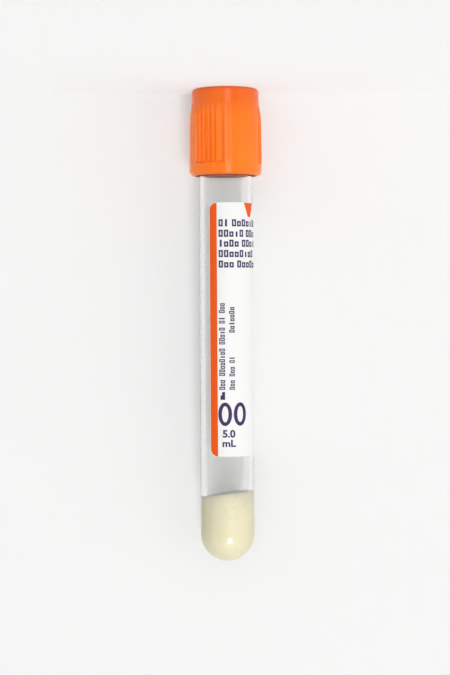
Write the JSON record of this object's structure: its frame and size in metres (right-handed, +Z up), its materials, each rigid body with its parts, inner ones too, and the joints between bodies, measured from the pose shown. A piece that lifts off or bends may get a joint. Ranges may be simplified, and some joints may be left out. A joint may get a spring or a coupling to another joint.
{
  "type": "blood collection tube",
  "caption": "Clear round-ended plastic sample tube with a wrap-round label, separator gel in its end and a fluted push-on safety closure.",
  "frame": {"origin": "centre of the closure's flat top, which the tube stands on", "axes": "+Z up along the tube's axis, from the closure to the round end; the label's printed front faces -Y"},
  "size_m": [0.0168, 0.0168, 0.1095],
  "materials": {
    "tube": "clear moulded polyester plastic, glossy",
    "gel": "cream translucent gel, wet against the wall",
    "label": "white satin film with an orange stripe and dark purple print",
    "stopper": "matt brick-orange rubber",
    "shield": "orange moulded plastic, satin"
  },
  "bodies": {
    "closure": {"stopper": "stopper", "closure_shield": "shield"},
    "tube_body": {"tube": "tube", "separator_gel": "gel", "label": "label"}
  },
  "joints": [
    {"name": "closure_pull", "type": "slide", "parent": "closure", "child": "tube_body", "axis": [0, 0, 1], "range_m": [0, 0.025]}
  ]
}
